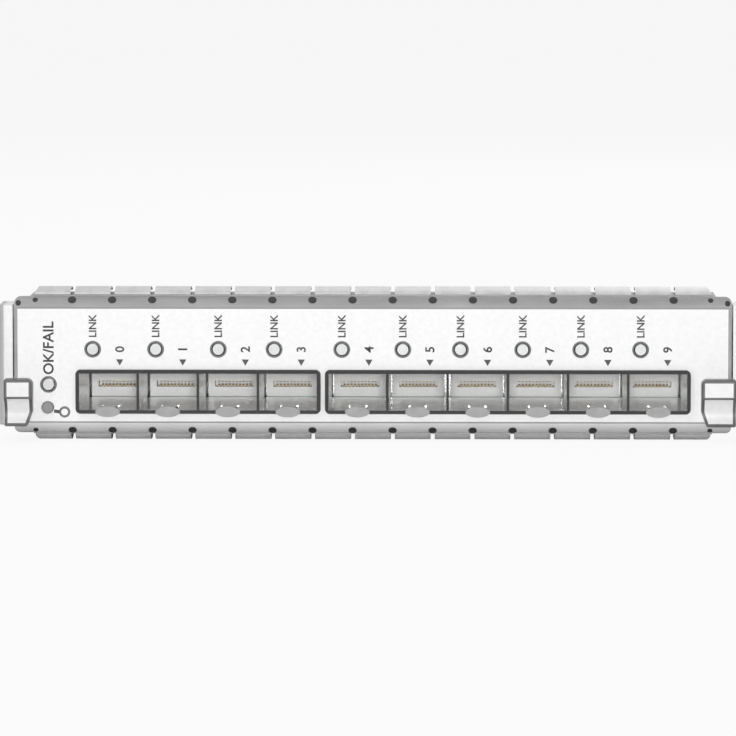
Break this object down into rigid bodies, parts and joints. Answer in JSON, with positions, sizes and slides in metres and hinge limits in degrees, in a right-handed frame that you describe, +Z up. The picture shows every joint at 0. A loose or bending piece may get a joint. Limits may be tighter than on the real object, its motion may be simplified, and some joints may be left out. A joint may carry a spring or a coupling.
{
  "type": "interface module",
  "caption": "Slide-in network interface module: white faceplate with a row of pluggable ports, link lights, spring-finger shields, end ejector levers and an open board tray.",
  "frame": {"origin": "middle of the tray's flat underside", "axes": "+X along the faceplate to the right seen from the front, +Y into the chassis, +Z up"},
  "size_m": [0.1772, 0.163, 0.0365],
  "materials": {
    "faceplate_paint": "fine white powder coat, satin",
    "finger_metal": "plated spring fingers, satin",
    "tray_metal": "zinc plated sheet, satin",
    "board_laminate": "green solder mask",
    "cage_metal": "tin plated sheet, bright",
    "rim_rubber": "conductive elastomer, matt",
    "port_plastic": "natural moulded plastic",
    "pipe_clear": "clear moulding",
    "holder_plastic": "black moulding",
    "light_body": "small moulded lamp body",
    "button_plastic": "grey moulding",
    "switch_plastic": "black moulding",
    "lever_paint": "pale satin coat on a casting",
    "bracket_metal": "zinc plated sheet",
    "pin_steel": "turned stainless steel",
    "screw_steel": "zinc plated",
    "chip_plastic": "black moulded package",
    "sink_aluminium": "extruded and anodised, matt",
    "module_plastic": "black potted case",
    "inductor_core": "dark pressed ferrite",
    "capacitor_can": "bright can",
    "backplane_plastic": "pale moulded connector body",
    "guide_metal": "die cast, satin"
  },
  "bodies": {
    "card": {"backplane_connector_left": "backplane_plastic", "backplane_connector_right": "backplane_plastic", "board_lights": "light_body", "board_screws": "screw_steel", "board_standoffs": "screw_steel", "bracket_rivets": "screw_steel", "button_switch": "switch_plastic", "cage_dividers": "cage_metal", "cage_floor_four": "cage_metal", "cage_floor_six": "cage_metal", "cage_shell_four": "cage_metal", "cage_shell_six": "cage_metal", "carrier_tray": "tray_metal", "ejector_bracket_left": "bracket_metal", "ejector_bracket_right": "bracket_metal", "ejector_pins": "pin_steel", "faceplate": "faceplate_paint", "framer_chip": "chip_plastic", "framer_heat_sink": "sink_aluminium", "gasket_bottom": "finger_metal", "gasket_top": "finger_metal", "guide_socket_left": "guide_metal", "guide_socket_right": "guide_metal", "link_light_pipe_0": "pipe_clear", "link_light_pipe_1": "pipe_clear", "link_light_pipe_2": "pipe_clear", "link_light_pipe_3": "pipe_clear", "link_light_pipe_4": "pipe_clear", "link_light_pipe_5": "pipe_clear", "link_light_pipe_6": "pipe_clear", "link_light_pipe_7": "pipe_clear", "link_light_pipe_8": "pipe_clear", "link_light_pipe_9": "pipe_clear", "main_board": "board_laminate", "phy_chip_left": "chip_plastic", "phy_chip_right": "chip_plastic", "phy_heat_sink_left": "sink_aluminium", "phy_heat_sink_right": "sink_aluminium", "pipe_holder_four": "holder_plastic", "pipe_holder_six": "holder_plastic", "plate_screws": "screw_steel", "port_connector_0": "port_plastic", "port_connector_1": "port_plastic", "port_connector_2": "port_plastic", "port_connector_3": "port_plastic", "port_connector_4": "port_plastic", "port_connector_5": "port_plastic", "port_connector_6": "port_plastic", "port_connector_7": "port_plastic", "port_connector_8": "port_plastic", "port_connector_9": "port_plastic", "power_capacitors": "capacitor_can", "power_inductors": "inductor_core", "power_module": "module_plastic", "rim_gasket_four": "rim_rubber", "rim_gasket_six": "rim_rubber", "status_light_pipe": "pipe_clear"},
    "ejector_left": {"ejector_left": "lever_paint"},
    "ejector_right": {"ejector_right": "lever_paint"},
    "offline_button": {"offline_button": "button_plastic"}
  },
  "joints": [
    {"name": "ejector_left_hinge", "type": "hinge", "parent": "card", "child": "ejector_left", "pos_m": [-0.0833, -0.07, 0.01625], "axis": [0, 0, -1], "range_deg": [0, 45]},
    {"name": "ejector_right_hinge", "type": "hinge", "parent": "card", "child": "ejector_right", "pos_m": [0.0833, -0.07, 0.01625], "axis": [0, 0, 1], "range_deg": [0, 45]},
    {"name": "offline_button_press", "type": "slide", "parent": "card", "child": "offline_button", "axis": [0, 1, 0], "range_m": [0, 0.0008], "stiffness_N_per_m": 1500}
  ]
}
